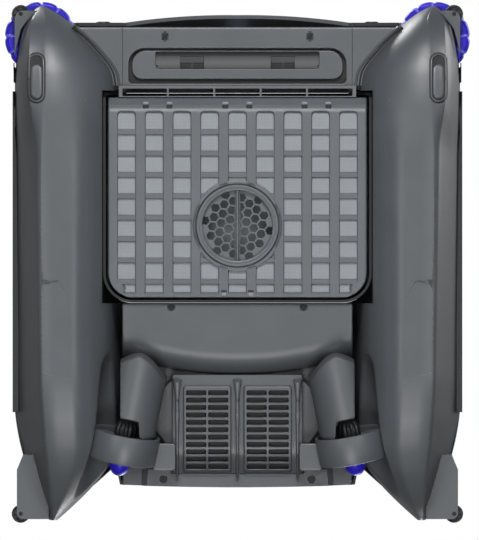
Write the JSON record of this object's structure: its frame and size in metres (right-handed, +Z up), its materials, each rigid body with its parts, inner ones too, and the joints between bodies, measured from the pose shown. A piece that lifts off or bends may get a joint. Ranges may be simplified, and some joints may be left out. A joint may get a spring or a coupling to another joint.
{
  "type": "floating pool surface cleaner",
  "caption": "Twin-pontoon floating pool cleaner with paddle intake, lift-out leaf basket, tablet dispenser and ducted thrusters.",
  "frame": {"origin": "on the ground under the middle of the hull, halfway along the pontoons", "axes": "+Z up, -Y towards the bow, +X to port"},
  "size_m": [0.4296, 0.4807, 0.1427],
  "materials": {
    "hull": "satin moulded ABS",
    "deck": "satin moulded ABS",
    "lattice": "matte moulded polypropylene",
    "mesh": "woven nylon mesh",
    "blue": "smooth moulded polyurethane",
    "roller": "matte rubber",
    "smoked": "clear smoked polycarbonate",
    "cells": "glass over solar cells",
    "light": "frosted light guide",
    "lens": "polished dark lens",
    "seal": "soft rubber",
    "foam": "closed-cell foam",
    "steel": "turned stainless steel",
    "motor": "turned aluminium",
    "board": "solder-masked circuit board",
    "wrap": "shrink wrap"
  },
  "bodies": {
    "hull": {"basket_well": "hull", "battery_cells": "wrap", "belly_shell": "hull", "bow_cowl": "deck", "bow_panel": "hull", "charge_port": "motor", "control_board": "board", "deck_shell": "deck", "duct_left": "hull", "duct_right": "hull", "electronics_case": "hull", "float_foam": "foam", "hull_screws": "steel", "inlet_cheeks": "hull", "inlet_comb": "hull", "inlet_pan": "hull", "motor_pod_left": "hull", "motor_pod_right": "hull", "paddle_motor": "motor", "pontoon_left": "hull", "pontoon_right": "hull", "rear_rim": "hull", "roller_brackets": "hull", "rub_strips": "roller", "seals": "seal", "sensor_covers": "hull", "skids": "hull", "solar_frame": "deck", "solar_glass": "cells", "sonar_eyes": "lens", "status_light": "light", "thruster_motors": "motor", "vent_housing": "hull", "wheel_axles": "steel"},
    "wheel_left": {"corner_wheel_left": "blue"},
    "wheel_right": {"corner_wheel_right": "blue"},
    "roller_fl": {"roller_front_left": "roller"},
    "roller_fr": {"roller_front_right": "roller"},
    "roller_rl": {"roller_rear_left": "roller"},
    "roller_rr": {"roller_rear_right": "roller"},
    "screw_left": {"propeller_left": "lens", "tail_cone_left": "blue", "prop_shaft_left": "steel"},
    "screw_right": {"propeller_right": "lens", "tail_cone_right": "blue", "prop_shaft_right": "steel"},
    "paddle": {"paddle_wheel": "lattice", "paddle_shaft": "steel"},
    "basket": {"basket_tub": "lattice", "basket_floor": "lattice", "basket_frame": "lattice", "basket_mesh": "mesh", "dispenser_grille": "lattice", "tablet_cage": "lattice", "hinge_pins": "steel"},
    "lid": {"basket_lid": "smoked"},
    "bail": {"bail_handle": "lattice"},
    "cap": {"dispenser_cap": "lattice"},
    "button": {"power_button": "deck"},
    "flap": {"port_cap": "seal"}
  },
  "joints": [
    {"name": "corner_wheel_left_spin", "type": "hinge", "parent": "hull", "child": "wheel_left", "pos_m": [-0.1817, -0.2077, 0.094], "axis": [0, 0, 1], "continuous": true},
    {"name": "roller_front_left_spin", "type": "hinge", "parent": "hull", "child": "roller_fl", "pos_m": [-0.1996, -0.229, 0.0725], "axis": [0, 0, 1], "continuous": true},
    {"name": "roller_rear_left_spin", "type": "hinge", "parent": "hull", "child": "roller_rl", "pos_m": [-0.1996, 0.2315, 0.0725], "axis": [0, 0, 1], "continuous": true},
    {"name": "propeller_left_spin", "type": "hinge", "parent": "hull", "child": "screw_left", "pos_m": [-0.105, 0.169, 0.042], "axis": [-0.189, 0.9721, 0.1392], "continuous": true},
    {"name": "corner_wheel_right_spin", "type": "hinge", "parent": "hull", "child": "wheel_right", "pos_m": [0.1817, -0.2077, 0.094], "axis": [0, 0, 1], "continuous": true},
    {"name": "roller_front_right_spin", "type": "hinge", "parent": "hull", "child": "roller_fr", "pos_m": [0.1996, -0.229, 0.0725], "axis": [0, 0, 1], "continuous": true},
    {"name": "roller_rear_right_spin", "type": "hinge", "parent": "hull", "child": "roller_rr", "pos_m": [0.1996, 0.2315, 0.0725], "axis": [0, 0, 1], "continuous": true},
    {"name": "propeller_right_spin", "type": "hinge", "parent": "hull", "child": "screw_right", "pos_m": [0.105, 0.169, 0.042], "axis": [0.189, 0.9721, 0.1392], "continuous": true},
    {"name": "paddle_spin", "type": "hinge", "parent": "hull", "child": "paddle", "pos_m": [0, -0.187, 0.083], "axis": [1, 0, 0], "continuous": true},
    {"name": "basket_lift", "type": "slide", "parent": "hull", "child": "basket", "axis": [0, 0, 1], "range_m": [0, 0.15]},
    {"name": "lid_hinge", "type": "hinge", "parent": "basket", "child": "lid", "pos_m": [0, 0.022, 0.1398], "axis": [-1, 0, 0], "range_deg": [0, 75]},
    {"name": "bail_hinge", "type": "hinge", "parent": "basket", "child": "bail", "pos_m": [0, 0.022, 0.1398], "axis": [-1, 0, 0], "range_deg": [0, 90]},
    {"name": "dispenser_cap_twist", "type": "hinge", "parent": "basket", "child": "cap", "pos_m": [0, -0.0339, 0.042], "axis": [0, 0, 1], "range_deg": [0, 45]},
    {"name": "power_button_press", "type": "slide", "parent": "hull", "child": "button", "axis": [0, 0, -1], "range_m": [0, 0.0015], "stiffness_N_per_m": 600},
    {"name": "port_cap_hinge", "type": "hinge", "parent": "hull", "child": "flap", "pos_m": [0.052, 0.1864, 0.1407], "axis": [-1, 0, 0], "range_deg": [0, 110]}
  ]
}
